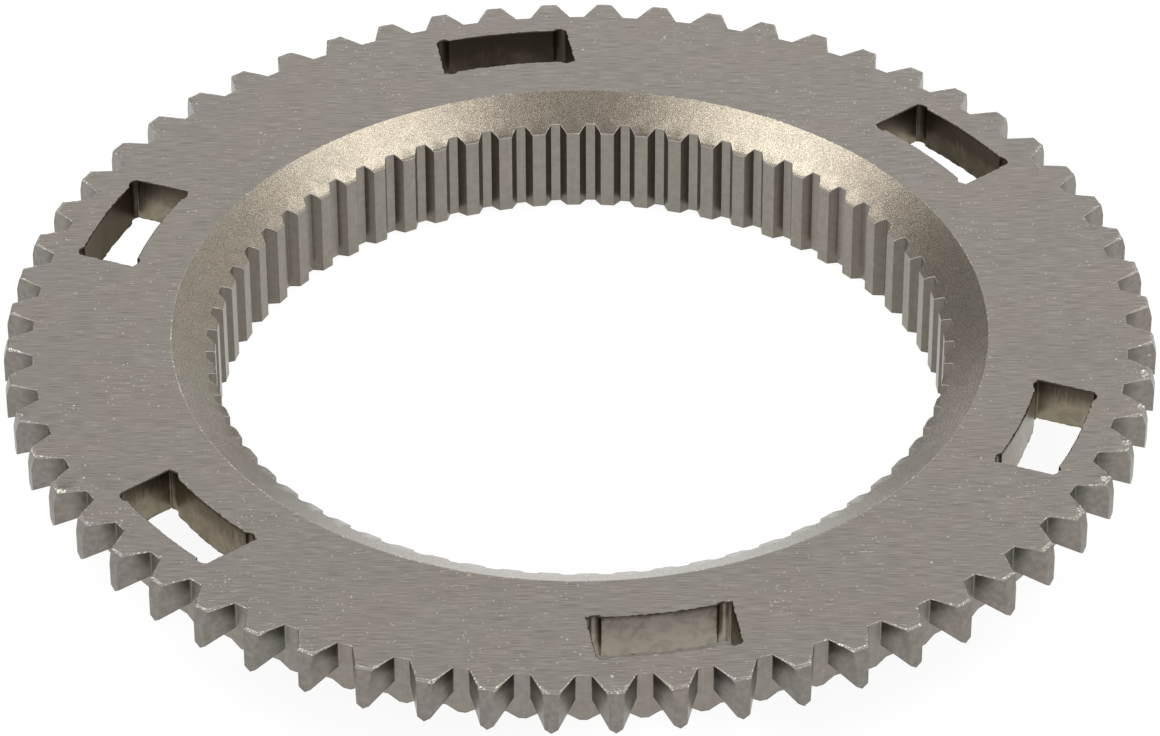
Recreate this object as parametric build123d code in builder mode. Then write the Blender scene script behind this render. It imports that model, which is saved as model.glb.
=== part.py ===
"""Synchronizer ring: one piece of steel with pointed outer teeth, six slots, a conical entry and a
splined hub.

Millimetres, +Z up. The axis of the ring is the Z axis and the origin lies on it, level with the
lower face of the hub. The radii are built up from the bore outwards and the heights from the top
face downwards, so a wall keeps its own thickness when a neighbour changes.
"""
from build123d import *

import os
from math import asin, atan2, cos, degrees, pi, radians, sin, tan

# Heights
overall_height = 16.0
web_thickness = 6.4
rim_lip = 0.95                # how far the rim reaches below the web

# Inner spline
bore_diameter = 99.25         # across the spline tips
spline_count = 64
spline_depth = 1.235
spline_tip_land = 1.87
spline_root_land = 1.29
spline_phase = 3.01           # degrees from the first outer tooth to the nearest spline tip

# Conical entry
cone_width = 5.86             # from the bore to the edge of the cone, in plan
cone_angle = 30.0             # degrees below the top face
entry_bevel_width = 0.35      # the steeper bevel on each spline tip
entry_bevel_height = 0.34

# Hub
hub_wall = 4.1                # outside the spline roots
hub_bevel = 0.8
hub_root_bevel = 1.0          # in the corner between hub and web

# Slots
slot_count = 6
first_slot_angle = 30.0
inner_land = 7.355            # from the edge of the cone to the slots
slot_length = 7.8             # radial
slot_width = 18.8
relief_radius = 1.0
relief_overcut = 0.4          # how far each corner relief bites past the curved edge

# Rim
rim_wall = 3.61               # from the slots to the root circle
lip_width = 2.25
lip_land = 1.0                # flat left on the lip between two teeth
lip_flank_angle = 32.2        # degrees from level

# Outer teeth
tooth_count = 60
tooth_height = 3.93
tip_land = 2.24               # at the top face
gap_floor = 2.12
lead_in_depth = 0.53
lead_in_height = 2.2
roof_angle = 36.8             # slope of the two faces that make the pointed end
ridge_setback = 0.3           # from the underside of the web up to the ridge, at the root circle
ridge_fall = 0.25             # how much lower the ridge is at the tip
tooth_seat = 0.4              # how deep a tooth is rooted in the rim

# Cutters reach this far past what they cut
overshoot = 1.0

# Levels
top_level = overall_height
web_level = top_level - web_thickness
lip_level = web_level - rim_lip
ridge_level = web_level + ridge_setback

# Radii
bore_radius = bore_diameter / 2
spline_root_radius = bore_radius + spline_depth
cone_radius = bore_radius + cone_width
hub_radius = spline_root_radius + hub_wall
slot_inner_radius = cone_radius + inner_land
slot_outer_radius = slot_inner_radius + slot_length
root_radius = slot_outer_radius + rim_wall
tip_radius = root_radius + tooth_height
lip_inner_radius = root_radius - lip_width

# Levels along the conical entry
bevel_radius = bore_radius + entry_bevel_width
bevel_level = top_level - (cone_radius - bevel_radius) * tan(radians(cone_angle))
entry_level = bevel_level - entry_bevel_height


def straight_wedge(near_radius, near_half, far_radius, far_half, start, stop):
    """Corners of a wedge about the X axis, from radius start to radius stop.

    Its straight sides pass through half-widths near_half and far_half at the two radii.
    """
    slope = (far_half - near_half) / (far_radius - near_radius)
    start_half = near_half + slope * (start - near_radius)
    stop_half = near_half + slope * (stop - near_radius)
    return [(start, -start_half), (stop, -stop_half), (stop, stop_half), (start, start_half)]


def half_width_beside(radius, count, land):
    """Half-width at a radius of what lies between two neighbours, each a land wide, of a pattern."""
    return radius * sin(pi / count - asin(land / 2 / radius))


# One outer tooth, lying on the X axis, with its pointed end below
tooth_top_radius = tip_radius - lead_in_depth
tooth_root_half = half_width_beside(root_radius, tooth_count, gap_floor)
tooth_plan = straight_wedge(
    root_radius, tooth_root_half,
    tooth_top_radius, tip_land / 2,
    root_radius - tooth_seat, tip_radius + overshoot,
)
ridge_tilt = atan2(ridge_fall, tooth_height)
ridge_plane = Plane(
    origin=(root_radius, 0, ridge_level),
    x_dir=(0, 1, 0),
    z_dir=(cos(ridge_tilt), 0, -sin(ridge_tilt)),
)
roof_half = tooth_root_half + overshoot
roof_rise = roof_half * tan(radians(roof_angle))
roof_top = web_thickness + overshoot

with BuildPart() as tooth:
    with BuildSketch(Plane.XY.offset(web_level)):
        Polygon(*tooth_plan, align=None)
    extrude(amount=web_thickness)
    with BuildSketch(Plane.XZ):
        with BuildLine():
            Polyline(
                (0, lip_level),
                (tip_radius, lip_level),
                (tip_radius, top_level - lead_in_height),
                (tooth_top_radius, top_level),
                (0, top_level),
                close=True,
            )
        make_face()
    revolve(axis=Axis.Z, mode=Mode.INTERSECT)
    with BuildSketch(ridge_plane):
        Polygon(
            (0, 0),
            (roof_half, roof_rise),
            (roof_half, roof_top),
            (-roof_half, roof_top),
            (-roof_half, roof_rise),
            align=None,
        )
    extrude(amount=2 * tooth_height, both=True, mode=Mode.INTERSECT)

# The notch under one tooth, which leaves the lip of the rim standing only between the teeth
lip_run = 1 / tan(radians(lip_flank_angle))
notch_foot = root_radius * sin(pi / tooth_count) - lip_land / 2
notch_roof = notch_foot - rim_lip * lip_run
notch_mouth = notch_foot + overshoot * lip_run

with BuildPart() as notch:
    with BuildSketch(Plane.YZ.offset(lip_inner_radius - overshoot)):
        Polygon(
            (-notch_mouth, lip_level - overshoot),
            (notch_mouth, lip_level - overshoot),
            (notch_roof, web_level),
            (-notch_roof, web_level),
            align=None,
        )
    extrude(amount=lip_width + 2 * overshoot)

# Plan of all the gaps between the spline tips
spline_gap_plan = straight_wedge(
    bore_radius, half_width_beside(bore_radius, spline_count, spline_tip_land),
    spline_root_radius, spline_root_land / 2,
    bore_radius - overshoot, spline_root_radius + overshoot,
)
first_spline_gap = spline_phase + 180 / spline_count

with BuildSketch() as spline_gaps:
    with PolarLocations(0, spline_count, start_angle=first_spline_gap):
        Polygon(*spline_gap_plan, align=None)
    Circle(spline_root_radius, mode=Mode.INTERSECT)

# Plan of one slot, lying on the X axis: curved edges, parallel sides and a relief in each corner
relief_side = slot_width / 2 - relief_radius
relief_inset = relief_radius - relief_overcut


def relief_centre(edge_radius, inset):
    """Place of the relief in the upper corner at a curved edge, set inwards by inset."""
    radius = edge_radius + inset
    return radius * cos(asin(relief_side / radius)), relief_side


inner_relief = relief_centre(slot_inner_radius, relief_inset)
outer_relief = relief_centre(slot_outer_radius, -relief_inset)
reliefs = [(x, side * y) for x, y in (inner_relief, outer_relief) for side in (-1, 1)]

with BuildSketch() as slot:
    Circle(slot_outer_radius)
    Circle(slot_inner_radius, mode=Mode.SUBTRACT)
    with Locations((slot_outer_radius, 0)):
        Rectangle(2 * (slot_outer_radius - relief_side), slot_width, mode=Mode.INTERSECT)
    with Locations(*reliefs):
        Circle(relief_radius)

# The ring: turned body, slots, notches and spline, with the outer teeth rooted in its rim
with BuildPart() as synchronizer_ring:
    with BuildSketch(Plane.XZ):
        with BuildLine():
            Polyline(
                (cone_radius, top_level),
                (root_radius, top_level),
                (root_radius, lip_level),
                (lip_inner_radius, lip_level),
                (lip_inner_radius, web_level),
                (hub_radius, web_level),
                (hub_radius, hub_bevel),
                (hub_radius - hub_bevel, 0),
                (bore_radius, 0),
                (bore_radius, entry_level),
                (bevel_radius, bevel_level),
                close=True,
            )
        section = make_face()
        hub_corner = section.vertices().sort_by_distance((hub_radius, web_level))[0]
        chamfer(hub_corner, length=hub_root_bevel)
    revolve(axis=Axis.Z)
    with PolarLocations(0, tooth_count):
        add(notch.part, mode=Mode.SUBTRACT)
    with BuildSketch(Plane.XY.offset(web_level)):
        with PolarLocations(0, slot_count, start_angle=first_slot_angle):
            add(slot.sketch)
    extrude(amount=web_thickness, mode=Mode.SUBTRACT)
    with BuildSketch():
        add(spline_gaps.sketch)
    extrude(amount=overall_height, mode=Mode.SUBTRACT)
    with PolarLocations(0, tooth_count):
        add(tooth.part)

os.makedirs("parts", exist_ok=True)
synchronizer_ring.part.label = "synchronizer_ring"
export_step(synchronizer_ring.part, "parts/synchronizer_ring.step")
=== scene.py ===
"""Looks of a synchronizer ring: ground face, grain-blasted entry cone, splined bore and pointed teeth.

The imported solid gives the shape, in metres, with the ring's axis on Z and the hub's lower face at zero.
The solid's mesh is copied, its edges are broken and its areas get their own finishes.
"""
import logging
import math
from dataclasses import dataclass
from enum import IntEnum
from typing import ClassVar

import bmesh
import bpy
from mathutils import Matrix, Vector, noise
from mathutils.geometry import delaunay_2d_cdt


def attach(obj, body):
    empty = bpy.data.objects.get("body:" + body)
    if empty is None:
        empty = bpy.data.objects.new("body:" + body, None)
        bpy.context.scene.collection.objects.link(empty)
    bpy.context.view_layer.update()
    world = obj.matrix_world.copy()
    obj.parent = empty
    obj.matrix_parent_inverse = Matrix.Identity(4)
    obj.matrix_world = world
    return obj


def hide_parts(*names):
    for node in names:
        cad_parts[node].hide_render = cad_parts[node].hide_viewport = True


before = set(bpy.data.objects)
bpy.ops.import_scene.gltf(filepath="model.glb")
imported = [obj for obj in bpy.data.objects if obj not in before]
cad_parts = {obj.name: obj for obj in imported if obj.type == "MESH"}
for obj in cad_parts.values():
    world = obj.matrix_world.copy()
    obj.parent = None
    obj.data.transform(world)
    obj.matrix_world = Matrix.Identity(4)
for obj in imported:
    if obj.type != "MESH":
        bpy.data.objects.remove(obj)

log = logging.getLogger("synchronizer_ring")

Color = tuple[float, float, float]
Opaque = tuple[float, float, float, float]
Socket = bpy.types.NodeSocket

MM = 0.001
NODE = "synchronizer_ring"
PICTURE_TURN = -9.249  # angle in plan of the picture's left-right axis, in degrees from +X

# Places on the solid, in millimetres
TOP = 16.0
WEB_UNDERSIDE = 9.6
GAP_FLOOR_RADIUS = 74.25
TIP_RADIUS = 77.65

# How a flat area is filled
INSIDE_OUTLINES = 2  # the kind of filling that stays inside the outlines
SAME_PLACE = 0.0001  # distance in millimetres below which two corners are one

# Marks on the flat face, as the groups for specks and scratches take them
FACE_SPECKS = (
    {"Spacing": 0.62, "Size": 0.16, "Amount": 0.55},
    {"Spacing": 2.3, "Size": 0.27, "Amount": 0.3},
)
FACE_SCRATCHES = (
    {"Angle": 62.0, "Spacing": 2.4, "Length": 1.3, "Amount": 0.05},
    {"Angle": -38.0, "Spacing": 2.8, "Length": 1.6, "Amount": 0.04},
    {"Angle": 11.0, "Spacing": 1.1, "Length": 1.3, "Amount": 0.07},
)


class Area(IntEnum):
    """Areas of the ring, in the order of their material slots."""

    FACE = 0
    CONE = 1
    SPLINE = 2
    FLANK = 3
    SLOT = 4
    TEETH = 5
    ROOT = 6
    UNDERSIDE = 7
    WORN = 8
    BRUISE = 9
    MOUTH = 10


def opaque(color: Color) -> Opaque:
    """A colour with full alpha."""
    return (*color, 1.0)


WHITE = opaque((1.0, 1.0, 1.0))


def new_object(name: str, data: bpy.types.ID) -> bpy.types.Object:
    """Add an object to the scene.

    Args:
        name: the object's name.
        data: its mesh, lamp or lens.

    Returns:
        The object.
    """
    made = bpy.data.objects.new(name, data)
    bpy.context.scene.collection.objects.link(made)
    return made


# Node building


class Nodes:
    """Builds the nodes of one tree."""

    def __init__(self, tree: bpy.types.NodeTree) -> None:
        """Start on an empty tree.

        Args:
            tree: the tree of a material, group or world.
        """
        self.tree = tree
        tree.nodes.clear()

    def feed(self, node: bpy.types.Node, inputs: dict) -> None:
        """Give a node its inputs.

        Args:
            node: the node.
            inputs: socket name or index to a value or to another node's output socket.
        """
        for name, value in inputs.items():
            if isinstance(value, Socket):
                self.tree.links.new(value, node.inputs[name])
            else:
                node.inputs[name].default_value = value

    def add(self, kind: str, inputs: dict | None = None, **settings: object) -> bpy.types.Node:
        """Add a node.

        Args:
            kind: the node's class name.
            inputs: its inputs, as feed takes them.
            settings: properties of the node.

        Returns:
            The new node.
        """
        node = self.tree.nodes.new(kind)
        for name, value in settings.items():
            setattr(node, name, value)
        self.feed(node, inputs or {})
        return node

    def use(self, effect: "Effect", inputs: dict | None = None) -> bpy.types.bpy_prop_collection:
        """Add an effect's group.

        Args:
            effect: the effect.
            inputs: the inputs that differ from the group's own values.

        Returns:
            The outputs of the group's node.
        """
        return self.add("ShaderNodeGroup", inputs, node_tree=effect.group()).outputs

    def math(self, operation: str, *values: float | Socket, clamp: bool = False) -> Socket:
        """Add a math node.

        Args:
            operation: the operation's name.
            values: numbers or sockets, in order.
            clamp: whether the result stays between 0 and 1.

        Returns:
            The result's socket.
        """
        node = self.add("ShaderNodeMath", dict(enumerate(values)), operation=operation, use_clamp=clamp)
        return node.outputs[0]

    def vector(self, operation: str, *values: float | Color | Vector | Socket) -> Socket:
        """Add a vector math node.

        Args:
            operation: the operation's name.
            values: vectors or sockets, in order. After a vector, SCALE takes a number.

        Returns:
            The result's socket, a number for LENGTH and DOT_PRODUCT.
        """
        inputs = dict(enumerate(values))
        if operation == "SCALE":
            inputs["Scale"] = inputs.pop(1)
        node = self.add("ShaderNodeVectorMath", inputs, operation=operation)
        return node.outputs["Value" if operation in ("LENGTH", "DOT_PRODUCT") else "Vector"]

    def parts(self, vector: Socket) -> list[Socket]:
        """The three parts of a vector."""
        return list(self.add("ShaderNodeSeparateXYZ", {0: vector}).outputs)

    def noise_at(self, place: Socket, scale: float | Socket, detail: float) -> Socket:
        """Add a noise.

        Args:
            place: where the noise is looked up.
            scale: its scale.
            detail: its number of finer layers.

        Returns:
            The noise's socket, from 0 to 1 and mostly about 0.5.
        """
        return self.add("ShaderNodeTexNoise", {"Vector": place, "Scale": scale, "Detail": detail}).outputs[0]

    def ramp(self, value: Socket, low: float, high: float, start: float = 0.0, stop: float = 1.0) -> Socket:
        """Map a value smoothly from one range to another.

        Args:
            value: the socket to map.
            low: the value that gives start.
            high: the value that gives stop.
            start: the result at low.
            stop: the result at high.

        Returns:
            The result's socket.
        """
        inputs = {"Value": value, "From Min": low, "From Max": high, "To Min": start, "To Max": stop}
        node = self.add("ShaderNodeMapRange", inputs, interpolation_type="SMOOTHSTEP")
        return node.outputs["Result"]

    def about_one(self, value: Socket, spread: float) -> Socket:
        """Turn noise into a factor about 1.

        Args:
            value: the noise's socket.
            spread: how far the factor goes from 1.

        Returns:
            The factor's socket.
        """
        return self.ramp(value, 0.3, 0.7, 1 - spread, 1 + spread)

    def blend(self, share: float | Socket, first: Opaque | Socket, second: Opaque | Socket,
              mode: str = "MIX") -> Socket:
        """Blend two colours.

        Args:
            share: how much of the second.
            first: the first colour, a value or a socket.
            second: the second colour, a value or a socket.
            mode: how they are blended.

        Returns:
            The result's socket.
        """
        inputs = {0: share, 6: first, 7: second}
        return self.add("ShaderNodeMix", inputs, data_type="RGBA", blend_type=mode).outputs[2]

    def millimetres(self) -> Socket:
        """Place on the object, in millimetres."""
        return self.vector("SCALE", self.add("ShaderNodeTexCoord").outputs["Object"], 1 / MM)

    def turned(self, angle: float | Socket) -> Socket:
        """Place on the object, in millimetres, turned in plan.

        Args:
            angle: how far it is turned, in radians.

        Returns:
            The place's socket.
        """
        inputs = {"Vector": self.millimetres(), "Angle": angle}
        return self.add("ShaderNodeVectorRotate", inputs, rotation_type="Z_AXIS").outputs[0]


# Effects that the finishes share


@dataclass(frozen=True)
class Effect:
    """An effect that is a shader node group.

    Attributes:
        name: the group's name.
        inputs: the starting value of each input.
        outputs: the socket type of each output.
    """

    name: ClassVar[str]
    inputs: ClassVar[dict[str, float]]
    outputs: ClassVar[dict[str, str]] = {"Mask": "NodeSocketFloat"}

    def group(self) -> bpy.types.NodeTree:
        """Build the group on first use and return it."""
        if self.name in bpy.data.node_groups:
            return bpy.data.node_groups[self.name]
        tree = bpy.data.node_groups.new(self.name, "ShaderNodeTree")
        for label, value in self.inputs.items():
            socket = tree.interface.new_socket(label, in_out="INPUT", socket_type="NodeSocketFloat")
            socket.default_value = value
        for label, kind in self.outputs.items():
            tree.interface.new_socket(label, in_out="OUTPUT", socket_type=kind)
        nodes = Nodes(tree)
        entry = nodes.add("NodeGroupInput")
        given = {label: entry.outputs[label] for label in self.inputs}
        nodes.add("NodeGroupOutput", self.results(nodes, given))
        return tree

    def results(self, nodes: Nodes, given: dict[str, Socket]) -> dict[str, Socket]:
        """Build the group's nodes.

        Args:
            nodes: the builder of the group's tree.
            given: the group's inputs.

        Returns:
            The socket for each output.
        """
        raise NotImplementedError


@dataclass(frozen=True)
class GrindingLines(Effect):
    """Straight, fine lines that a flat grinder leaves."""

    name: ClassVar[str] = "grinding lines"
    inputs: ClassVar[dict[str, float]] = {"Spacing": 0.105, "Length": 3.0}
    outputs: ClassVar[dict[str, str]] = {"Fine": "NodeSocketFloat", "Broad": "NodeSocketFloat"}

    def results(self, nodes: Nodes, given: dict[str, Socket]) -> dict[str, Socket]:
        """Stretch noise along the lines.

        Args:
            nodes: the builder of the group's tree.
            given: the group's inputs.

        Returns:
            The socket for each output.
        """
        x, y, z = nodes.parts(nodes.turned(math.radians(-PICTURE_TURN)))
        along = nodes.math("DIVIDE", x, given["Length"])
        across = nodes.math("DIVIDE", y, given["Spacing"])
        place = nodes.add("ShaderNodeCombineXYZ", {0: along, 1: across, 2: z}).outputs[0]
        wider = nodes.vector("MULTIPLY", place, (0.4, 0.22, 1.0))
        return {"Fine": nodes.noise_at(place, 1.0, 3.0), "Broad": nodes.noise_at(wider, 1.0, 2.0)}


@dataclass(frozen=True)
class Specks(Effect):
    """Small dents from handling, in loose clusters."""

    name: ClassVar[str] = "specks"
    inputs: ClassVar[dict[str, float]] = {"Spacing": 1.1, "Size": 0.2, "Amount": 0.12, "Crowding": 1.0}

    def results(self, nodes: Nodes, given: dict[str, Socket]) -> dict[str, Socket]:
        """Pick some cells of a bent pattern, more where they crowd.

        Args:
            nodes: the builder of the group's tree.
            given: the group's inputs.

        Returns:
            The socket for each output.
        """
        place = nodes.millimetres()
        wobble = nodes.add("ShaderNodeTexNoise", {"Vector": place, "Scale": 4.5, "Detail": 2.0})
        bent = nodes.vector("ADD", place, nodes.vector("SCALE", wobble.outputs["Color"], 0.42))
        scale = nodes.math("DIVIDE", 1.0, given["Spacing"])
        cells = nodes.add("ShaderNodeTexVoronoi", {"Vector": bent, "Scale": scale})
        chance, size, force = nodes.add("ShaderNodeSeparateColor", {0: cells.outputs["Color"]}).outputs
        reach = nodes.math("MULTIPLY", nodes.math("DIVIDE", given["Size"], given["Spacing"]),
                           nodes.math("ADD", size, 0.35))
        spot = nodes.ramp(nodes.math("DIVIDE", cells.outputs["Distance"], reach), 1.0, 0.55)
        crowd = nodes.ramp(nodes.noise_at(place, 0.09, 2.0), 0.42, 0.68)
        crowded = nodes.math("MULTIPLY", crowd, given["Crowding"])
        limit = nodes.math("MULTIPLY", given["Amount"], nodes.math("ADD", crowded, 0.12))
        chosen = nodes.math("LESS_THAN", chance, limit)
        strength = nodes.math("MULTIPLY", chosen, nodes.math("MULTIPLY_ADD", force, 0.7, 0.3))
        return {"Mask": nodes.math("MULTIPLY", spot, strength)}


@dataclass(frozen=True)
class Scratches(Effect):
    """Short thin scratches along one direction."""

    name: ClassVar[str] = "scratches"
    inputs: ClassVar[dict[str, float]] = {
        "Angle": 30.0, "Spacing": 2.5, "Width": 0.06, "Length": 4.0, "Amount": 0.2,
    }

    def results(self, nodes: Nodes, given: dict[str, Socket]) -> dict[str, Socket]:
        """Draw a leaning line in some cells of a stretched pattern.

        Args:
            nodes: the builder of the group's tree.
            given: the group's inputs.

        Returns:
            The socket for each output.
        """
        x, y, _ = nodes.parts(nodes.turned(nodes.math("RADIANS", given["Angle"])))
        along = nodes.math("DIVIDE", x, given["Length"])
        across = nodes.math("DIVIDE", y, given["Spacing"])
        stretched = nodes.add("ShaderNodeCombineXYZ", {0: along, 1: across}).outputs[0]
        cells = nodes.add("ShaderNodeTexVoronoi", {"Vector": stretched, "Scale": 1.0}, voronoi_dimensions="2D")
        chance, second, third = nodes.add("ShaderNodeSeparateColor", {0: cells.outputs["Color"]}).outputs
        middle_along, middle_across, _ = nodes.parts(cells.outputs["Position"])
        lean = nodes.math("MULTIPLY", nodes.math("SUBTRACT", second, 0.5), 0.3)
        run = nodes.math("SUBTRACT", along, middle_along)
        off = nodes.math("SUBTRACT", nodes.math("SUBTRACT", across, middle_across),
                         nodes.math("MULTIPLY", run, lean))
        away = nodes.math("MULTIPLY", nodes.math("ABSOLUTE", off), given["Spacing"])
        line = nodes.ramp(nodes.math("DIVIDE", away, given["Width"]), 1.0, 0.3)
        span = nodes.math("MULTIPLY_ADD", third, 0.75, 0.3)
        ends = nodes.ramp(nodes.math("DIVIDE", nodes.math("ABSOLUTE", run), span), 0.42, 0.2)
        strength = nodes.math("MULTIPLY", nodes.math("MULTIPLY_ADD", second, 0.7, 0.35), ends)
        chosen = nodes.math("LESS_THAN", chance, given["Amount"])
        return {"Mask": nodes.math("MULTIPLY", nodes.math("MULTIPLY", line, strength), chosen)}


@dataclass(frozen=True)
class TintDrift(Effect):
    """Slow drift of a bare steel's tint, from warm to cool."""

    name: ClassVar[str] = "tint drift"
    inputs: ClassVar[dict[str, float]] = {"Size": 14.0}
    outputs: ClassVar[dict[str, str]] = {"Color": "NodeSocketColor"}

    def results(self, nodes: Nodes, given: dict[str, Socket]) -> dict[str, Socket]:
        """Colour a slow noise.

        Args:
            nodes: the builder of the group's tree.
            given: the group's inputs.

        Returns:
            The socket for each output.
        """
        scale = nodes.math("DIVIDE", 1.0, given["Size"])
        ramp = nodes.add("ShaderNodeValToRGB", {0: nodes.noise_at(nodes.millimetres(), scale, 3.0)})
        first, last = ramp.color_ramp.elements
        first.position, first.color = 0.35, opaque((1.02, 0.992, 0.98))
        last.position, last.color = 0.65, opaque((0.983, 1.0, 0.985))
        return {"Color": ramp.outputs[0]}


@dataclass(frozen=True)
class ToothEdge(Effect):
    """How near a place on the flat face is to the edge of the outer teeth.

    Attributes:
        count: number of outer teeth.
        tip_half: half the width of a tooth at its tip, in millimetres.
        root_half: half its width at its root.
    """

    name: ClassVar[str] = "tooth edge"
    inputs: ClassVar[dict[str, float]] = {"Width": 0.5}
    count: int = 60
    tip_half: float = 1.12
    root_half: float = 2.826

    def results(self, nodes: Nodes, given: dict[str, Socket]) -> dict[str, Socket]:
        """Measure the distance to the nearest edge, and break it up with noise.

        Args:
            nodes: the builder of the group's tree.
            given: the group's inputs.

        Returns:
            The socket for each output.
        """
        place = nodes.millimetres()
        x, y, _ = nodes.parts(place)
        radius = nodes.math("SQRT", nodes.math("ADD", nodes.math("MULTIPLY", x, x),
                                               nodes.math("MULTIPLY", y, y)))
        half_pitch = math.pi / self.count
        angle = nodes.math("WRAP", nodes.math("ARCTAN2", y, x), half_pitch, -half_pitch)
        out = nodes.math("MULTIPLY", radius, nodes.math("COSINE", angle))
        side = nodes.math("ABSOLUTE", nodes.math("MULTIPLY", radius, nodes.math("SINE", angle)))
        slope = (self.root_half - self.tip_half) / (TIP_RADIUS - GAP_FLOOR_RADIUS)
        to_tip = nodes.math("SUBTRACT", TIP_RADIUS, out)
        half = nodes.math("MULTIPLY_ADD", to_tip, slope, self.tip_half)
        to_flank = nodes.math("MULTIPLY", nodes.math("SUBTRACT", half, side), math.cos(math.atan(slope)))
        to_root = nodes.math("SUBTRACT", GAP_FLOOR_RADIUS, radius)
        distance = nodes.math("MINIMUM", nodes.math("MAXIMUM", to_flank, to_root), to_tip)
        tooth = nodes.ramp(radius, GAP_FLOOR_RADIUS + 0.6, TIP_RADIUS - 0.4, 0.25, 1.0)
        reach = nodes.math("MULTIPLY", nodes.math("MULTIPLY", given["Width"], tooth),
                           nodes.ramp(nodes.noise_at(place, 0.8, 2.0), 0.4, 0.65, 0.25, 1.6))
        near = nodes.math("SUBTRACT", 1.0, nodes.math("DIVIDE", distance, reach), clamp=True)
        # worn: the edges' wear together with the painted highlight that the face puts on them
        worn = nodes.math("MULTIPLY_ADD", near, 0.45, nodes.noise_at(place, 3.2, 2.0))
        return {"Mask": nodes.ramp(worn, 0.74, 0.98)}


# Finishes


@dataclass(frozen=True)
class Finish:
    """What every steel finish of the ring has.

    Attributes:
        name: the material's name.
        color: base colour of the clean metal.
        roughness: roughness of the clean metal.
        soft: radius of the soft shading at corners, in millimetres.
    """

    name: str
    color: Color
    roughness: float
    soft: float = 0.0

    def material(self) -> bpy.types.Material:
        """Build and return the material."""
        material = bpy.data.materials.new(self.name)
        material.use_nodes = True
        material.diffuse_color = opaque(self.color)
        nodes = Nodes(material.node_tree)
        shader = nodes.add("ShaderNodeBsdfPrincipled", {
            "Base Color": opaque(self.color), "Metallic": 1.0, "Roughness": self.roughness,
        })
        nodes.add("ShaderNodeOutputMaterial", {"Surface": shader.outputs[0]})
        nodes.feed(shader, self.look(nodes))
        return material

    def look(self, nodes: Nodes) -> dict:
        """Work out what else the shader is fed.

        Args:
            nodes: the builder of the material's tree.

        Returns:
            The shader's inputs, values or sockets.
        """
        raise NotImplementedError

    def shaded(self, nodes: Nodes, first: Socket, second: Socket, drift: float = 14.0) -> Socket:
        """Shade the clean metal's colour.

        Args:
            nodes: the builder of the material's tree.
            first: a factor about 1.
            second: another.
            drift: size of the patches in which the tint drifts, in millimetres.

        Returns:
            The colour's socket.
        """
        shade = nodes.math("MULTIPLY", first, second)
        grey = nodes.add("ShaderNodeCombineColor", {0: shade, 1: shade, 2: shade}).outputs[0]
        dimmed = nodes.blend(1.0, opaque(self.color), grey, "MULTIPLY")
        return nodes.blend(1.0, dimmed, nodes.use(TintDrift(), {"Size": drift})["Color"], "MULTIPLY")

    def bump(self, nodes: Nodes, height: Socket, depth: float, strength: float = 0.5) -> Socket:
        """Add a bump over softly shaded corners.

        Args:
            nodes: the builder of the material's tree.
            height: the height that makes the bump.
            depth: depth of the bump, in millimetres.
            strength: how strong it is.

        Returns:
            The bent normal's socket.
        """
        inputs = {"Height": height, "Distance": depth * MM, "Strength": strength}
        if self.soft > 0:
            inputs["Normal"] = nodes.add("ShaderNodeBevel", {"Radius": self.soft * MM}, samples=6).outputs[0]
        return nodes.add("ShaderNodeBump", inputs).outputs[0]


@dataclass(frozen=True)
class GroundFace(Finish):
    """The flat face: straight grinding lines, dents, scratches, and a painted highlight along the teeth's worn
    edges.

    Attributes:
        worn: colour of freshly bruised metal, also used for the painted highlight along the teeth's edges.
        contrast: how much the lines change the metal's brightness.
        mark_share: share of the fresh metal's colour in the specks and scratches.
        edge_highlight_share: its share in the painted highlight at the teeth's edges.
    """

    worn: Color = (0.82, 0.78, 0.7)
    contrast: float = 0.25
    mark_share: float = 0.9
    edge_highlight_share: float = 0.42

    def look(self, nodes: Nodes) -> dict:
        """Lay lines, specks, scratches and the painted highlight at the teeth's edges over the metal.

        Args:
            nodes: the builder of the material's tree.

        Returns:
            The shader's inputs.
        """
        lines = nodes.use(GrindingLines())
        edge = nodes.use(ToothEdge(), {"Width": 0.9})["Mask"]
        marks = nodes.math("MAXIMUM", *(nodes.use(Specks(), inputs)["Mask"] for inputs in FACE_SPECKS))
        for inputs in FACE_SCRATCHES:
            scratch = nodes.math("MULTIPLY", nodes.use(Scratches(), inputs)["Mask"], 0.7)
            marks = nodes.math("MAXIMUM", marks, scratch)
        # painted highlight along the teeth's edges; the specks and scratches take the same bright colour as
        # real marks
        bright = nodes.math("MAXIMUM", nodes.math("MULTIPLY", marks, self.mark_share),
                            nodes.math("MULTIPLY", edge, self.edge_highlight_share))
        lined = self.shaded(nodes, nodes.about_one(lines["Fine"], self.contrast),
                            nodes.about_one(lines["Broad"], 0.2 * self.contrast))
        height = nodes.math("SUBTRACT", lines["Fine"], nodes.math("MULTIPLY", marks, 2.5))
        return {
            "Base Color": nodes.blend(bright, lined, opaque(self.worn)),
            "Roughness": nodes.ramp(lines["Fine"], 0.25, 0.75, self.roughness - 0.04, self.roughness + 0.04),
            "Normal": self.bump(nodes, height, 0.012, 0.6),
        }


@dataclass(frozen=True)
class BlastedCone(Finish):
    """The conical entry: fine blasted grain with bright points.

    Attributes:
        grain: size of the grain, in millimetres.
        depth: depth of the grain, in millimetres.
        sheen: how much the grain lightens the cone at a low angle.
    """

    grain: float = 0.135
    depth: float = 0.02
    sheen: float = 0.6

    def look(self, nodes: Nodes) -> dict:
        """Grain the metal and give it a sheen.

        Args:
            nodes: the builder of the material's tree.

        Returns:
            The shader's inputs.
        """
        place = nodes.millimetres()
        grain = nodes.noise_at(place, 1 / self.grain, 2.0)
        patch = nodes.about_one(nodes.noise_at(place, 0.5, 3.0), 0.05)
        return {
            "Base Color": self.shaded(nodes, nodes.ramp(grain, 0.32, 0.68, 0.62, 1.4), patch, 9.0),
            "Normal": self.bump(nodes, grain, self.depth, 1.0),
            "Sheen Weight": self.sheen,
            "Sheen Roughness": 0.3,
        }


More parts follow.
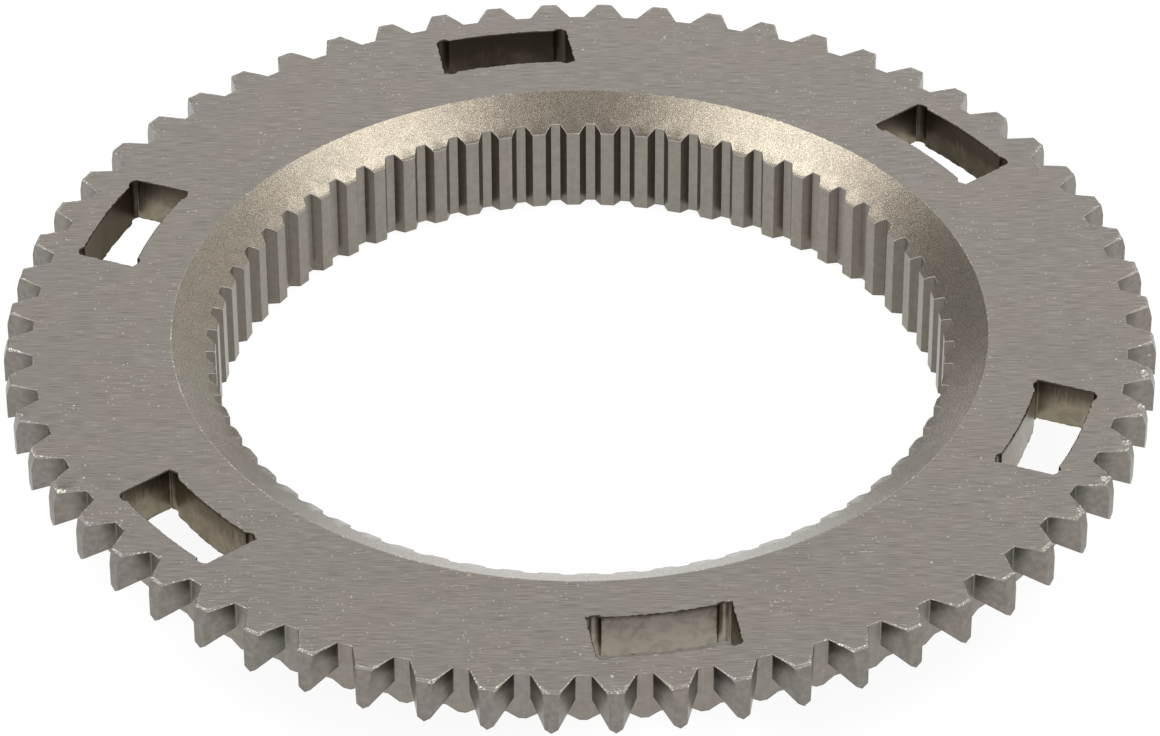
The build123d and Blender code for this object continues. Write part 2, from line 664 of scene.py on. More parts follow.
@dataclass(frozen=True)
class DrawnWall(Finish):
    """An upright wall with marks along the ring's axis, as a broach or cutter leaves them.

    Attributes:
        marks: how strongly the marks change the metal's brightness.
        spacing: distance between marks, in millimetres.
        mottle: how strongly soft patches change it.
    """

    marks: float = 0.12
    spacing: float = 0.35
    mottle: float = 0.07

    def look(self, nodes: Nodes) -> dict:
        """Stretch noise along the axis and mottle it.

        Args:
            nodes: the builder of the material's tree.

        Returns:
            The shader's inputs.
        """
        place = nodes.millimetres()
        stretched = nodes.vector("MULTIPLY", place, (1 / self.spacing, 1 / self.spacing, 0.08))
        mark = nodes.noise_at(stretched, 1.0, 2.0)
        patch = nodes.about_one(nodes.noise_at(place, 1.1, 4.0), self.mottle)
        return {
            "Base Color": self.shaded(nodes, nodes.about_one(mark, self.marks), patch),
            "Normal": self.bump(nodes, mark, 0.02),
        }


@dataclass(frozen=True)
class CutTooth(Finish):
    """A tooth's flank: softly mottled, with a few bright knocks, and a painted shade towards the root.

    Attributes:
        root: share of the brightness that the painted shade leaves at the root.
        fade: distance from the root over which it comes back, in millimetres.
        knocked: colour of the knocks.
    """

    root: float = 0.6
    fade: float = 2.2
    knocked: Color = (0.6, 0.57, 0.5)

    def look(self, nodes: Nodes) -> dict:
        """Mottle the metal, paint shade at its root and knock it.

        Args:
            nodes: the builder of the material's tree.

        Returns:
            The shader's inputs.
        """
        place = nodes.millimetres()
        knocks = nodes.use(Specks(), {"Spacing": 1.3, "Size": 0.24, "Amount": 0.16, "Crowding": 0.6})["Mask"]
        radius = nodes.vector("LENGTH", nodes.vector("MULTIPLY", place, (1.0, 1.0, 0.0)))
        patch = nodes.noise_at(place, 1.2, 4.0)
        # painted shade: the flank darkens towards the gap floor, in the crease between the teeth
        root = nodes.ramp(radius, GAP_FLOOR_RADIUS, GAP_FLOOR_RADIUS + self.fade, self.root, 1.0)
        mottled = self.shaded(nodes, nodes.about_one(patch, 0.12), root)
        return {
            "Base Color": nodes.blend(nodes.math("MULTIPLY", knocks, 0.5), mottled, opaque(self.knocked)),
            "Normal": self.bump(nodes, patch, 0.02),
        }


@dataclass(frozen=True)
class WornEdge(Finish):
    """A broken edge: dull metal with bright flecks, partly fresh metal and partly painted glints.

    Attributes:
        flecks: share of it that is bright.
        bright: colour of the flecks, fresh metal with a painted glint.
    """

    flecks: float = 0.3
    bright: Color = (0.85, 0.81, 0.72)

    def look(self, nodes: Nodes) -> dict:
        """Scatter the flecks in patches.

        Args:
            nodes: the builder of the material's tree.

        Returns:
            The shader's inputs.
        """
        place = nodes.millimetres()
        fleck = nodes.noise_at(place, 3.4, 2.0)
        patch = nodes.math("MULTIPLY", nodes.noise_at(place, 0.4, 1.0), 0.35)
        start = 0.86 - 0.3 * self.flecks
        # the bright flecks are partly fresh metal and partly painted glints
        share = nodes.ramp(nodes.math("ADD", fleck, patch), start, start + 0.1)
        return {
            "Base Color": nodes.blend(share, opaque(self.color), opaque(self.bright)),
            "Normal": self.bump(nodes, fleck, 0.05, 0.6),
        }


@dataclass(frozen=True)
class PunchedWall(Finish):
    """A slot's wall: darker and streaked near the face, plainer below.

    The inner walls of the slots at one side get a painted reflection that lightens them, the walls get a
    painted shade towards the ring's +Y side and along their top edge, and the outer wall at the left is
    darker.

    Attributes:
        dark: colour of the darkest stains and of the painted shade.
        stained: colour of the walls without the painted reflection.
        low_tint: colour of the reflections that a stained wall gives at a low angle.
        lit_side: direction in plan from the axis to the slots whose inner wall gets the painted reflection.
    """

    dark: Color = (0.062, 0.05, 0.037)
    stained: Color = (0.26, 0.232, 0.17)
    low_tint: Color = (0.76, 0.72, 0.65)
    lit_side: tuple[float, float, float] = (0.5, -0.866, 0.0)

    def look(self, nodes: Nodes) -> dict:
        """Darken the wall by height and streaks, and paint light and shade on it by side.

        Args:
            nodes: the builder of the material's tree.

        Returns:
            The shader's inputs.
        """
        place = nodes.millimetres()
        x, y, z = nodes.parts(place)
        streak = nodes.noise_at(nodes.vector("MULTIPLY", place, (2.2, 2.2, 0.3)), 1.0, 3.0)
        patch = nodes.noise_at(place, 0.3, 3.0)
        outward = nodes.vector("NORMALIZE", nodes.vector("MULTIPLY", place, (1.0, 1.0, 0.0)))
        side = nodes.vector("DOT_PRODUCT", outward, self.lit_side)
        normal = nodes.add("ShaderNodeTexCoord").outputs["Normal"]
        facing = nodes.vector("DOT_PRODUCT", outward, normal)
        inner_wall = nodes.ramp(facing, 0.85, 0.97)
        outer_wall = nodes.ramp(facing, -0.8, -0.95)
        end_wall = nodes.ramp(nodes.math("ABSOLUTE", facing), 0.5, 0.2)
        lit_inner_wall = nodes.math("MULTIPLY", nodes.ramp(side, 0.45, 0.7), inner_wall)
        darker_left_wall = nodes.math("MULTIPLY", nodes.ramp(x, -25.0, -45.0), outer_wall)
        low = nodes.ramp(z, TOP - 0.2, WEB_UNDERSIDE + 2.0)
        smear = nodes.math("MULTIPLY", nodes.ramp(streak, 0.4, 0.6, -0.25, 0.06),
                           nodes.ramp(z, TOP - 1.0, WEB_UNDERSIDE + 2.5, 1.0, 0.1))
        smear = nodes.math("MULTIPLY", smear, nodes.ramp(patch, 0.42, 0.55, 0.2, 1.3))
        share = nodes.math("MULTIPLY_ADD", low, 0.37, smear)
        share = nodes.math("ADD", share, nodes.ramp(patch, 0.35, 0.65, -0.06, 0.12))
        # painted shade: the walls darken towards the ring's +Y side
        share = nodes.math("SUBTRACT", share, nodes.ramp(y, 5.0, 60.0, 0.0, 0.3), clamp=True)
        # painted reflection: the inner walls on the lit side are made lighter
        share = nodes.math("MULTIPLY_ADD", lit_inner_wall, 0.62, share, clamp=True)
        share = nodes.math("MULTIPLY_ADD", end_wall, nodes.math("MULTIPLY_ADD", low, 0.6, 0.05), share)
        share = nodes.math("MULTIPLY_ADD", inner_wall, 0.28, share)
        share = nodes.math("SUBTRACT", share, nodes.math("MULTIPLY", darker_left_wall, 0.3), clamp=True)
        smudge = nodes.add("ShaderNodeTexNoise", {
            "Vector": place, "Scale": 0.4, "Detail": 4.0, "Distortion": 1.2,
        })
        smudged = nodes.ramp(smudge.outputs[0], 0.38, 0.62, 0.8, 1.12)
        share = nodes.math("MULTIPLY", share, smudged, clamp=True)
        # painted shade along the top edge, under the rolled-over lip, broken up by the streaks
        ragged = nodes.math("MULTIPLY_ADD", streak, 1.4, z)
        share = nodes.math("MULTIPLY", share, nodes.ramp(ragged, TOP + 0.5, TOP - 0.1, 0.5, 1.0))
        # the lit inner walls take the clean metal's colour, part of the painted reflection
        metal = nodes.blend(lit_inner_wall, opaque(self.stained), opaque(self.color))
        return {
            "Base Color": nodes.blend(share, opaque(self.dark), metal),
            "Specular Tint": nodes.blend(lit_inner_wall, opaque(self.low_tint), WHITE),
            "Normal": self.bump(nodes, streak, 0.03),
        }


# The ring


@dataclass(frozen=True)
class Wear:
    """How far an edge of the flat face is rounded off, from place to place.

    Attributes:
        width: how far the rounding reaches over the face.
        depth: how far it reaches down the wall.
        step: longest stretch of edge between two points.
        spread: how much both change from place to place, as a share.
        grain: length over which they change.
        least: least share of both.
    """

    width: float
    depth: float
    step: float
    spread: float = 0.6
    grain: float = 1.3 * MM
    least: float = 0.15

    def share(self, place: Vector) -> float:
        """Share of the full wear at a place, about 1."""
        return max(self.least, 1.0 + self.spread * noise.noise(place / self.grain))


@dataclass(frozen=True)
class Dent:
    """A knocked place on the flat face or its edge, in millimetres.

    Attributes:
        place: where it is in plan.
        reach: its radius.
        depth: how deep it is.
        pitch: distance between the corners that the face gets in it.
        grain: length over which its depth changes.
    """

    place: tuple[float, float]
    reach: float
    depth: float
    pitch: float = 0.28
    grain: float = 0.45

    def depth_at(self, place: Vector) -> float:
        """Depth in metres at a place.

        Args:
            place: a place on the face, in metres.

        Returns:
            The depth, zero outside the dent.
        """
        away = (place.xy / MM - Vector(self.place)).length / self.reach
        if away >= 1:
            return 0.0
        uneven = 0.75 + 0.5 * noise.noise(place / (self.grain * MM))
        return self.depth * MM * uneven * (1 - away * away)

    def points(self) -> list[Vector]:
        """Places in the dent where the face needs a corner, in metres."""
        count = int(self.reach / self.pitch) + 1
        found = []
        for row in range(-count, count + 1):
            for column in range(-count, count + 1):
                offset = Vector(((column + 0.5 * (row % 2)) * self.pitch, row * self.pitch * 0.87))
                if offset.length < self.reach:
                    found.append((Vector(self.place) + offset) * MM)
        return found


class Hole:
    """The outline of a hole in plan."""

    def __init__(self, outline: list[Vector]) -> None:
        """Take the outline and the circle round it.

        Args:
            outline: corners in order.
        """
        self.outline = outline
        self.center = sum(outline, Vector((0, 0))) / len(outline)
        self.reach = max((corner - self.center).length for corner in outline)

    def holds(self, place: Vector) -> bool:
        """Tell whether a place in plan is inside the hole.

        Args:
            place: the place.

        Returns:
            Whether it is inside.
        """
        if (place - self.center).length > self.reach:
            return False
        inside = False
        for first, second in zip(self.outline, self.outline[1:] + self.outline[:1]):
            if (first.y > place.y) != (second.y > place.y):
                along = (place.y - first.y) / (second.y - first.y)
                if place.x < first.x + along * (second.x - first.x):
                    inside = not inside
        return inside


@dataclass
class Ring:
    """The visible ring: the solid's mesh with worn edges and a finish on each area.

    Attributes:
        top: height of the flat face.
        web_underside: height of the web's lower face.
        cone_radius: radius of the cone's edge.
        cone_slope: fall of the cone for each unit inwards.
        bore_radius: a radius just outside the spline's roots.
        slot_low: a radius between the cone and the slots.
        slot_high: a radius between the slots and the rim.
        rim_radius: radius of the gap floors.
        tip_radius: radius of the tooth tips at the face.
        near: how near to a radius counts as on it.
        weld: how near to each other corners of the solid's mesh are joined.
        outline_weld: the same for the corners of the flat face's outlines.
        sharp_angle: angle from which an edge stays sharp, in degrees.
        tooth_wear: wear of the teeth at their tips.
        root_share: share of it at the gap floors.
        slot_wear: wear of the slots' edges.
        cone_wear: wear of the edge between cone and face.
        mouth_bevel: width of the bevel round the spline's mouth.
        ragged: how far the torn lower edges of the slots stand out.
        torn_height: height of the torn strip, and the longest stretch between its points.
        torn_grain: length over which it changes.
        bruise_depth: depth from which a dent gets the bruise finish, fresh metal with painted glints.
        dents: the knocked places.
    """

    top: float = TOP * MM
    web_underside: float = WEB_UNDERSIDE * MM
    cone_radius: float = 55.485 * MM
    cone_slope: float = 0.577
    bore_radius: float = 51.2 * MM
    slot_low: float = 60.0 * MM
    slot_high: float = 72.0 * MM
    rim_radius: float = GAP_FLOOR_RADIUS * MM
    tip_radius: float = TIP_RADIUS * MM
    near: float = 0.1 * MM
    weld: float = 0.002 * MM
    outline_weld: float = 0.06 * MM
    sharp_angle: float = 16.0
    tooth_wear: Wear = Wear(0.3 * MM, 0.28 * MM, 0.37 * MM)
    root_share: float = 0.2
    slot_wear: Wear = Wear(0.13 * MM, 0.13 * MM, 0.3 * MM, 1.5, 0.5 * MM)
    cone_wear: Wear = Wear(0.09 * MM, 0.04 * MM, 0.65 * MM, 0.25)
    mouth_bevel: float = 0.07 * MM
    ragged: float = 0.2 * MM
    torn_height: float = 0.5 * MM
    torn_grain: float = 0.8 * MM
    bruise_depth: float = 0.03 * MM
    dents: tuple[Dent, ...] = (
        Dent((73.1, -23.6), 0.75, 0.22), Dent((72.6, -24.4), 0.4, 0.12), Dent((70.8, -30.8), 0.6, 0.2),
        Dent((66.9, -38.1), 0.65, 0.2), Dent((62.3, -45.1), 0.6, 0.18), Dent((57.8, -50.9), 0.7, 0.2),
        Dent((59.3, -20.6), 0.3, 0.03), Dent((-76.9, -8.0), 0.5, 0.18), Dent((-73.2, -25.0), 0.6, 0.16),
        Dent((-69.9, -22.6), 0.4, 0.06), Dent((-61.7, -40.7), 0.45, 0.08), Dent((7.0, -77.0), 0.4, 0.12),
        Dent((47.4, -38.2), 0.35, 0.05), Dent((53.1, -44.8), 0.4, 0.05), Dent((-28.8, -56.1), 0.35, 0.05),
        Dent((32.7, -67.2), 0.45, 0.08), Dent((21.4, -72.6), 0.45, 0.1), Dent((-8.1, -74.0), 0.4, 0.07),
    )

    def finishes(self) -> dict[Area, Finish]:
        """The finish of each area."""
        return {
            Area.FACE: GroundFace("ground face", (0.306, 0.283, 0.256), 0.32),
            Area.CONE: BlastedCone("blasted cone", (0.3, 0.267, 0.217), 0.25),
            Area.SPLINE: DrawnWall("broached spline", (0.244, 0.226, 0.194), 0.3, 0.12, marks=0.03),
            # painted shade: the spline's flanks are the broached spline's metal made darker
            Area.FLANK: DrawnWall("spline flank", (0.16, 0.143, 0.12), 0.3, 0.12, marks=0.04),
            Area.SLOT: PunchedWall("punched slot", (0.295, 0.267, 0.223), 0.35, 0.25),
            Area.TEETH: CutTooth("cut teeth", (0.21, 0.195, 0.174), 0.3, 0.35),
            Area.ROOT: DrawnWall("gap floors", (0.235, 0.217, 0.194), 0.3, 0.35, marks=0.04, spacing=0.3),
            Area.UNDERSIDE: DrawnWall("turned underside", (0.24, 0.224, 0.2), 0.4, marks=0.08),
            # worn edges, bruises and the spline's mouth: bright flecks that are partly painted glints, most of
            # all on the bruises
            Area.WORN: WornEdge("worn edge", (0.34, 0.316, 0.28), 0.42, flecks=0.36),
            Area.BRUISE: WornEdge("bruise", (0.36, 0.33, 0.28), 0.4, flecks=0.75),
            Area.MOUTH: WornEdge("mouth edge", (0.44, 0.415, 0.37), 0.45, flecks=0.25),
        }

    def area_of(self, center: Vector, normal: Vector) -> Area:
        """Tell which area a face of the solid belongs to.

        Args:
            center: the face's centre.
            normal: its outward normal.

        Returns:
            The area.
        """
        radius = math.hypot(center.x, center.y)
        outward = normal.xy.dot(center.xy) / radius
        upright = abs(normal.z) < 0.3
        if normal.z > 0.5 and radius < self.cone_radius:
            return Area.CONE
        if upright and radius < self.bore_radius:
            return Area.SPLINE if abs(outward) > 0.85 else Area.FLANK
        if upright and self.slot_low < radius < self.slot_high and center.z > self.web_underside:
            return Area.SLOT
        if radius > self.rim_radius - self.near and normal.z > -0.95:
            gap_floor = upright and outward > 0.9 and radius < self.rim_radius + self.near
            return Area.ROOT if gap_floor else Area.TEETH
        return Area.UNDERSIDE

    def copy_solid(self) -> bmesh.types.BMesh:
        """Copy the solid's mesh with its corners joined."""
        body = bmesh.new()
        body.from_mesh(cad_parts[NODE].data)
        bmesh.ops.remove_doubles(body, verts=body.verts, dist=self.weld)
        return body

    def divide(self, edges: list, step: float) -> None:
        """Divide edges into short lengths.

        Args:
            edges: the edges to divide.
            step: longest length that may stay.
        """
        for edge in edges:
            start = edge.verts[0]
            for left in range(math.ceil(edge.calc_length() / step), 1, -1):
                _, start = bmesh.utils.edge_split(edge, start, 1 / left)

    def outlines(self, body: bmesh.types.BMesh) -> list[list]:
        """Walk the open edges of the mesh.

        Args:
            body: the ring's mesh with a flat area taken out.

        Returns:
            Closed rows of corners, each with that area on its left as seen from above.
        """
        beside: dict = {}
        for edge in body.edges:
            if len(edge.link_faces) == 1:
                for corner in edge.verts:
                    beside.setdefault(corner, []).append(edge.other_vert(corner))
        rows, done = [], set()
        for start in beside:
            if start in done:
                continue
            row, last, here = [start], None, start
            while True:
                done.add(here)
                onward = beside[here][0] if beside[here][0] is not last else beside[here][1]
                if onward is start:
                    break
                row.append(onward)
                last, here = here, onward
            turn = sum(a.co.x * b.co.y - b.co.x * a.co.y for a, b in zip(row, row[1:] + row[:1]))
            outer = start.co.xy.length > self.slot_high
            if (turn > 0) != outer:
                row.reverse()
            rows.append(row)
        return rows

    def wear_of(self, row: list) -> Wear:
        """Tell how an outline of the flat face is worn."""
        radius = min(corner.co.xy.length for corner in row)
        if radius > self.slot_high:
            return self.tooth_wear
        return self.slot_wear if radius > self.slot_low else self.cone_wear

    def inward(self, row: list) -> list[Vector]:
        """Find the way into the face at each corner of an outline.

        Args:
            row: the outline's corners, with the face on the left.

        Returns:
            For each corner, the step in plan that clears both its sides by one.
        """
        count = len(row)
        ways = []
        for index, corner in enumerate(row):
            before = (corner.co - row[index - 1].co).xy.normalized()
            after = (row[(index + 1) % count].co - corner.co).xy.normalized()
            middle = Vector((-before.y - after.y, before.x + after.x)).normalized()
            ways.append(middle / max(middle.dot(Vector((-after.y, after.x))), 0.5))
        return ways

    def dent_at(self, place: Vector) -> float:
        """Depth of the dents at a place."""
        return sum(dent.depth_at(place) for dent in self.dents)

    def edge_area(self, wear: Wear, place: Vector) -> Area:
        """Tell which finish a worn edge has at a place."""
        if wear is self.slot_wear:
            return Area.SLOT
        return Area.BRUISE if self.dent_at(place) > self.bruise_depth else Area.WORN

    def round_edge(self, body: bmesh.types.BMesh, row: list) -> list:
        """Round off one outline of the flat face.

        Args:
            body: the ring's mesh without its flat face.
            row: the outline's corners.

        Returns:
            The corners where the rounding meets the flat face.
        """
        wear = self.wear_of(row)
        middle, inner = [], []
        for corner, way in zip(row, self.inward(row)):
            place = corner.co.copy()
            share = wear.share(place)
            if wear is self.tooth_wear:
                out = (place.xy.length - self.rim_radius) / (self.tip_radius - self.rim_radius)
                share *= self.root_share + (1 - self.root_share) * max(out, 0.0) ** 1.5
            reach, fall = wear.width * share, wear.depth * share
            dent = self.dent_at(place)
            step = Vector((way.x, way.y, 0.0)) * reach
            middle.append(body.verts.new(place + 0.3 * step - Vector((0, 0, 0.3 * fall + dent))))
            inner.append(body.verts.new(place + step - Vector((0, 0, self.dent_at(place + step)))))
            if wear is self.cone_wear:
                corner.co.xy *= 1 - fall / self.cone_slope / place.xy.length
            corner.co.z -= fall + dent
        count = len(row)
        for index in range(count):
            after = (index + 1) % count
            for low, high in ((row, middle), (middle, inner)):
                face = body.faces.new((low[index], low[after], high[after], high[index]))
                face.material_index = self.edge_area(wear, row[index].co)
                face.smooth = True
            body.edges.get((row[index], row[after])).smooth = False
            body.edges.get((inner[index], inner[after])).smooth = False
        return inner

    def fill(self, body: bmesh.types.BMesh, rows: list[list], dents: tuple[Dent, ...] = ()) -> list:
        """Fill a flat area between its outlines.

        Args:
            body: the ring's mesh.
            rows: the corners of the outlines.
            dents: the dents in the area.

        Returns:
            The new faces, which look up.
        """
        corners = [corner for row in rows for corner in row]
        places = [corner.co.xy.copy() for corner in corners]
        sides, first = [], 0
        for row in rows:
            sides += [(first + index, first + (index + 1) % len(row)) for index in range(len(row))]
            first += len(row)
        for dent in dents:
            places += dent.points()
        scaled = [place / MM for place in places]
        found, _, faces, sources, _, _ = delaunay_2d_cdt(scaled, sides, [], INSIDE_OUTLINES, SAME_PLACE)
        made = []
        for place, source in zip(found, sources):
            if source and source[0] < len(corners):
                made.append(corners[source[0]])
            else:
                spot = Vector((place.x * MM, place.y * MM, self.top))
                made.append(body.verts.new(spot - Vector((0, 0, self.dent_at(spot)))))
        outer = max(rows, key=lambda row: max(corner.co.xy.length for corner in row))
        holes = [Hole([corner.co.xy / MM for corner in row]) for row in rows if row is not outer]
        filled = []
        for face in faces:
            middle = sum((found[index] for index in face), Vector((0, 0))) / len(face)
            if not any(hole.holds(middle) for hole in holes):
                filled.append(body.faces.new([made[index] for index in face]))
                filled[-1].smooth = True
        for corner in made:
            if not corner.link_faces:
                body.verts.remove(corner)
        return filled

    def fill_face(self, body: bmesh.types.BMesh, rows: list[list]) -> None:
        """Fill the flat face between its outlines.

        Args:
            body: the ring's mesh.
            rows: the corners of the rounded outlines.
        """
        for face in self.fill(body, rows, self.dents):
            bruised = self.dent_at(face.calc_center_median()) > self.bruise_depth
            face.material_index = Area.BRUISE if bruised else Area.FACE

    def open_face(self, body: bmesh.types.BMesh) -> None:
        """Take the flat face off.

        Args:
            body: the ring's mesh.
        """
        flat = [face for face in body.faces
                if face.normal.z > 0.999 and face.calc_center_median().z > self.top - 0.05 * MM]
        bmesh.ops.delete(body, geom=flat, context="FACES")
        edge_corners = [corner for corner in body.verts if corner.is_boundary]
        bmesh.ops.remove_doubles(body, verts=edge_corners, dist=self.outline_weld)

    def divide_outlines(self, body: bmesh.types.BMesh) -> None:
        """Divide the outlines of the flat face into short lengths.

        Args:
            body: the ring's mesh without its flat face.
        """
        for row in self.outlines(body):
            wear = self.wear_of(row)
            pairs = zip(row, row[1:] + row[:1])
            self.divide([body.edges.get(pair) for pair in pairs], wear.step)

    def fray_slots(self, body: bmesh.types.BMesh) -> None:
        """Make the lower edges of the slots ragged, as a punch tears them.

        Args:
            body: the ring's mesh.
        """
        walls = [face for face in body.faces if face.material_index == Area.SLOT]
        around = {part for face in walls for part in (*face.verts, *face.edges)}
        bmesh.ops.bisect_plane(
            body, geom=[*walls, *around], dist=0.001 * MM, plane_no=(0, 0, 1),
            plane_co=(0, 0, self.web_underside + self.torn_height),
        )
        web = [face for face in body.faces if face.normal.z < -0.99
               and abs(face.calc_center_median().z - self.web_underside) < 0.01 * MM]
        torn = [edge for edge in {edge for face in web for edge in face.edges}
                if any(face.material_index == Area.SLOT for face in edge.link_faces)]
        bmesh.ops.delete(body, geom=web, context="FACES")
        self.divide(torn, self.torn_height)
        body.normal_update()
        moves = []
        for corner in body.verts:
            walls = [face.normal for face in corner.link_faces if face.material_index == Area.SLOT]
            if walls and corner.is_boundary:
                push = sum(walls, Vector()) / len(walls)
                room = min(edge.calc_length() for edge in corner.link_edges if edge.is_boundary)
                rough = max(0.0, 0.35 + noise.noise(corner.co / self.torn_grain))
                straight = max(0.0, 8 * push.length - 7)
                moves.append((corner, push.xy * min(rough * straight * self.ragged, 0.4 * room)))
        for corner, move in moves:
            corner.co.xy += move
        for face in self.fill(body, self.outlines(body)):
            face.normal_flip()
            face.material_index = Area.UNDERSIDE

    def bevel_mouth(self, body: bmesh.types.BMesh) -> None:
        """Bevel the edge where the cone runs into the spline.

        Args:
            body: the ring's mesh with its areas told apart.
        """
        mouth = []
        for edge in body.edges:
            areas = {face.material_index for face in edge.link_faces}
            if Area.CONE in areas and areas & {Area.FLANK, Area.SPLINE}:
                mouth.append(edge)
        bmesh.ops.bevel(
            body, geom=mouth, offset=self.mouth_bevel, offset_type="OFFSET", segments=1, profile=0.5,
            affect="EDGES", loop_slide=False, clamp_overlap=False, material=Area.MOUTH,
        )
        log.info("%d edges bevelled round the spline's mouth", len(mouth))

    def tell_areas(self, body: bmesh.types.BMesh) -> None:
        """Give each face the finish of its area.

        Args:
            body: the ring's mesh without its flat face.
        """
        for face in body.faces:
            face.material_index = self.area_of(face.calc_center_median(), face.normal)

    def mark_edges(self, body: bmesh.types.BMesh) -> None:
        """Keep the solid's own edges sharp and its curved walls smooth.

        Args:
            body: the ring's mesh without its flat face.
        """
        for face in body.faces:
            face.smooth = True
        for edge in body.edges:
            if len(edge.link_faces) == 2 and edge.calc_face_angle() > math.radians(self.sharp_angle):
                edge.smooth = False

    def build(self) -> bpy.types.Object:
        """Build and dress the ring.

        Returns:
            The finished object.
        """
        body = self.copy_solid()
        self.open_face(body)
        self.tell_areas(body)
        self.bevel_mouth(body)
        self.mark_edges(body)
        self.divide_outlines(body)
        rows = [self.round_edge(body, row) for row in self.outlines(body)]
        self.fill_face(body, rows)
        self.fray_slots(body)
        bmesh.ops.triangulate(body, faces=[face for face in body.faces if len(face.verts) > 4])
        mesh = bpy.data.meshes.new("ring")
        body.to_mesh(mesh)
        body.free()
        for finish in self.finishes().values():
            mesh.materials.append(finish.material())
        ring = new_object("ring", mesh)
        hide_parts(NODE)
        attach(ring, "root")
        log.info("%s: %d faces, %d outlines worn", ring.name, len(mesh.polygons), len(rows))
        return ring


# Studio


def direction(azimuth: float, elevation: float) -> Vector:
    """Work out a direction from the ring.

    Args:
        azimuth: its direction in plan, in degrees from the picture's right.
        elevation: its height, in degrees.

    Returns:
        The direction, with length 1.
    """
    around, up = math.radians(azimuth + PICTURE_TURN), math.radians(elevation)
    return Vector((math.cos(around) * math.cos(up), math.sin(around) * math.cos(up), math.sin(up)))


@dataclass(frozen=True)
class Softbox:
    """An evenly bright rectangular lamp that faces the ring.

    Attributes:
        name: the lamp's name.
        azimuth: direction in plan, in degrees from the picture's right.
        brightness: brightness of its face, where 1 is a white floor's.
        elevation: height above the floor, in degrees.
        distance: distance from the ring.
        size: width and height of the lamp.
    """

    name: str
    azimuth: float
    brightness: float
    elevation: float = 61
    distance: float = 1.2
    size: tuple[float, float] = (0.42, 0.66)

    def build(self) -> None:
        """Place the lamp."""
        light = bpy.data.lights.new(self.name, "AREA")
        light.shape = "RECTANGLE"
        light.size, light.size_y = self.size
        light.energy = self.brightness * math.pi * self.size[0] * self.size[1]
        lamp = new_object(self.name, light)
        away = direction(self.azimuth, self.elevation)
        lamp.location = away * self.distance
        lamp.rotation_euler = away.to_track_quat("Z", "Y").to_euler()


@dataclass(frozen=True)
class DarkSide:
    """A darker part of the room.

    Attributes:
        azimuth: its direction in plan, in degrees from the picture's right.
        elevation: its height, in degrees.
        edge: cosine of the angle at which it starts.
        core: cosine of the angle at which it is full.
        share: how much darker it is.
    """

    azimuth: float
    elevation: float
    edge: float
    core: float
    share: float

    def light(self, nodes: Nodes, toward: Socket) -> Socket:
        """Share of the room's light that is left, by direction.

        Args:
            nodes: the builder of the world's tree.
            toward: the direction looked in.

        Returns:
            The share's socket.
        """
        near = nodes.vector("DOT_PRODUCT", toward, direction(self.azimuth, self.elevation))
        return nodes.ramp(near, self.edge, self.core, 1.0, 1.0 - self.share)


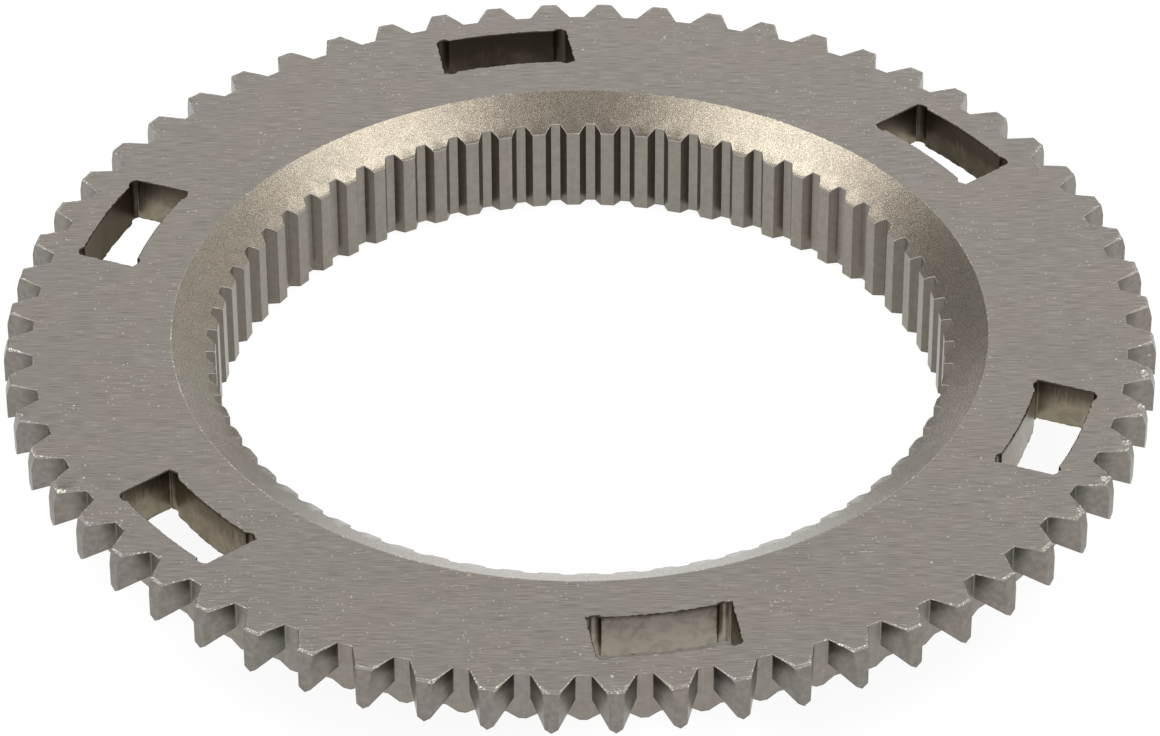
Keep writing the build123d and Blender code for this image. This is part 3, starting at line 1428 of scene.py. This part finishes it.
@dataclass(frozen=True)
class Studio:
    """A softly lit white table in an even, pale room with two darker sides.

    Attributes:
        floor_size: side of the floor.
        floor_color: colour of the floor.
        floor_glow: light that comes through the floor from below.
        horizon: brightness of the room low down.
        zenith: brightness of the room overhead.
        dark_sides: the darker parts of the room.
        lamps: the lamps.
    """

    floor_size: float = 4.0
    floor_color: Color = (0.15, 0.15, 0.15)
    floor_glow: float = 0.9
    horizon: float = 1.08
    zenith: float = 0.5
    dark_sides: tuple[DarkSide, ...] = (
        DarkSide(131, 24, 0.86, 0.97, 0.65),
        DarkSide(50, 12, 0.87, 0.98, 0.3),
    )
    lamps: tuple[Softbox, ...] = (Softbox("left box", 168, 3.8), Softbox("right box", 12, 3.3))

    def floor(self) -> None:
        """Lay the floor."""
        half = self.floor_size / 2
        mesh = bpy.data.meshes.new("floor")
        corners = [(-half, -half, 0), (half, -half, 0), (half, half, 0), (-half, half, 0)]
        mesh.from_pydata(corners, [], [(0, 1, 2, 3)])
        material = bpy.data.materials.new("white table")
        material.use_nodes = True
        nodes = Nodes(material.node_tree)
        inputs = {
            "Base Color": opaque(self.floor_color),
            "Roughness": 0.7,
            "Emission Color": WHITE,
            "Emission Strength": self.floor_glow,
        }
        shader = nodes.add("ShaderNodeBsdfPrincipled", inputs)
        nodes.add("ShaderNodeOutputMaterial", {"Surface": shader.outputs[0]})
        mesh.materials.append(material)
        new_object("floor", mesh)

    def room(self) -> None:
        """Light the room: pale all round, dimmer overhead, with its darker sides."""
        world = bpy.data.worlds.new("room")
        world.use_nodes = True
        nodes = Nodes(world.node_tree)
        toward = nodes.add("ShaderNodeTexCoord").outputs["Generated"]
        level = nodes.ramp(nodes.parts(toward)[2], 0.5, 0.88, self.horizon, self.zenith)
        for side in self.dark_sides:
            level = nodes.math("MULTIPLY", level, side.light(nodes, toward))
        back = nodes.add("ShaderNodeBackground", {"Color": WHITE, "Strength": level})
        nodes.add("ShaderNodeOutputWorld", {"Surface": back.outputs[0]})
        bpy.context.scene.world = world

    def build(self) -> None:
        """Build the floor, the room and the lamps."""
        self.floor()
        self.room()
        for lamp in self.lamps:
            lamp.build()
        log.info("studio: floor, room and %d lamps", len(self.lamps))


@dataclass(frozen=True)
class Viewpoint:
    """The photograph's viewpoint.

    Attributes:
        turn: angle in plan between the view's left-right axis and the ring's X axis, in degrees.
        elevation: height of the line of sight, in degrees.
        roll: lean of the camera, in degrees.
        distance: distance to the point looked at.
        aim: the point looked at, on the flat face, from the axis: to the right and away.
        face_level: height of the flat face.
        focal: focal length in millimetres.
        sensor: width of the sensor in millimetres.
        clip: nearest distance that is drawn.
    """

    turn: float = PICTURE_TURN
    elevation: float = 37.279
    roll: float = -0.184
    distance: float = 810.33 * MM
    aim: tuple[float, float] = (-0.0045 * MM, -10.231 * MM)
    face_level: float = TOP * MM
    focal: float = 186.98
    sensor: float = 36.0
    clip: float = 0.01

    def build(self) -> bpy.types.Object:
        """Place the camera.

        Returns:
            The camera.
        """
        up_angle, lean = math.radians(self.elevation), math.radians(self.roll)
        back = Vector((0, -math.cos(up_angle), math.sin(up_angle)))
        level = Vector((1, 0, 0))
        upward = back.cross(level)
        right = math.cos(lean) * level + math.sin(lean) * upward
        top = -math.sin(lean) * level + math.cos(lean) * upward
        rotation = Matrix((right, top, back)).transposed()
        place = Vector((*self.aim, self.face_level)) + back * self.distance
        turned = Matrix.Rotation(math.radians(self.turn), 4, "Z")
        lens = bpy.data.cameras.new("camera")
        lens.lens, lens.sensor_width, lens.clip_start = self.focal, self.sensor, self.clip
        camera = new_object("camera", lens)
        camera.matrix_world = turned @ Matrix.Translation(place) @ rotation.to_4x4()
        bpy.context.scene.camera = camera
        return camera


def main() -> None:
    """Build the ring, the studio and the camera."""
    logging.basicConfig(level=logging.INFO, format="%(name)s: %(message)s")
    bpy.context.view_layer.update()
    Ring().build()
    Studio().build()
    Viewpoint().build()
    view = bpy.context.scene.view_settings
    view.view_transform = "Standard"


if __name__ == "__main__":
    main()
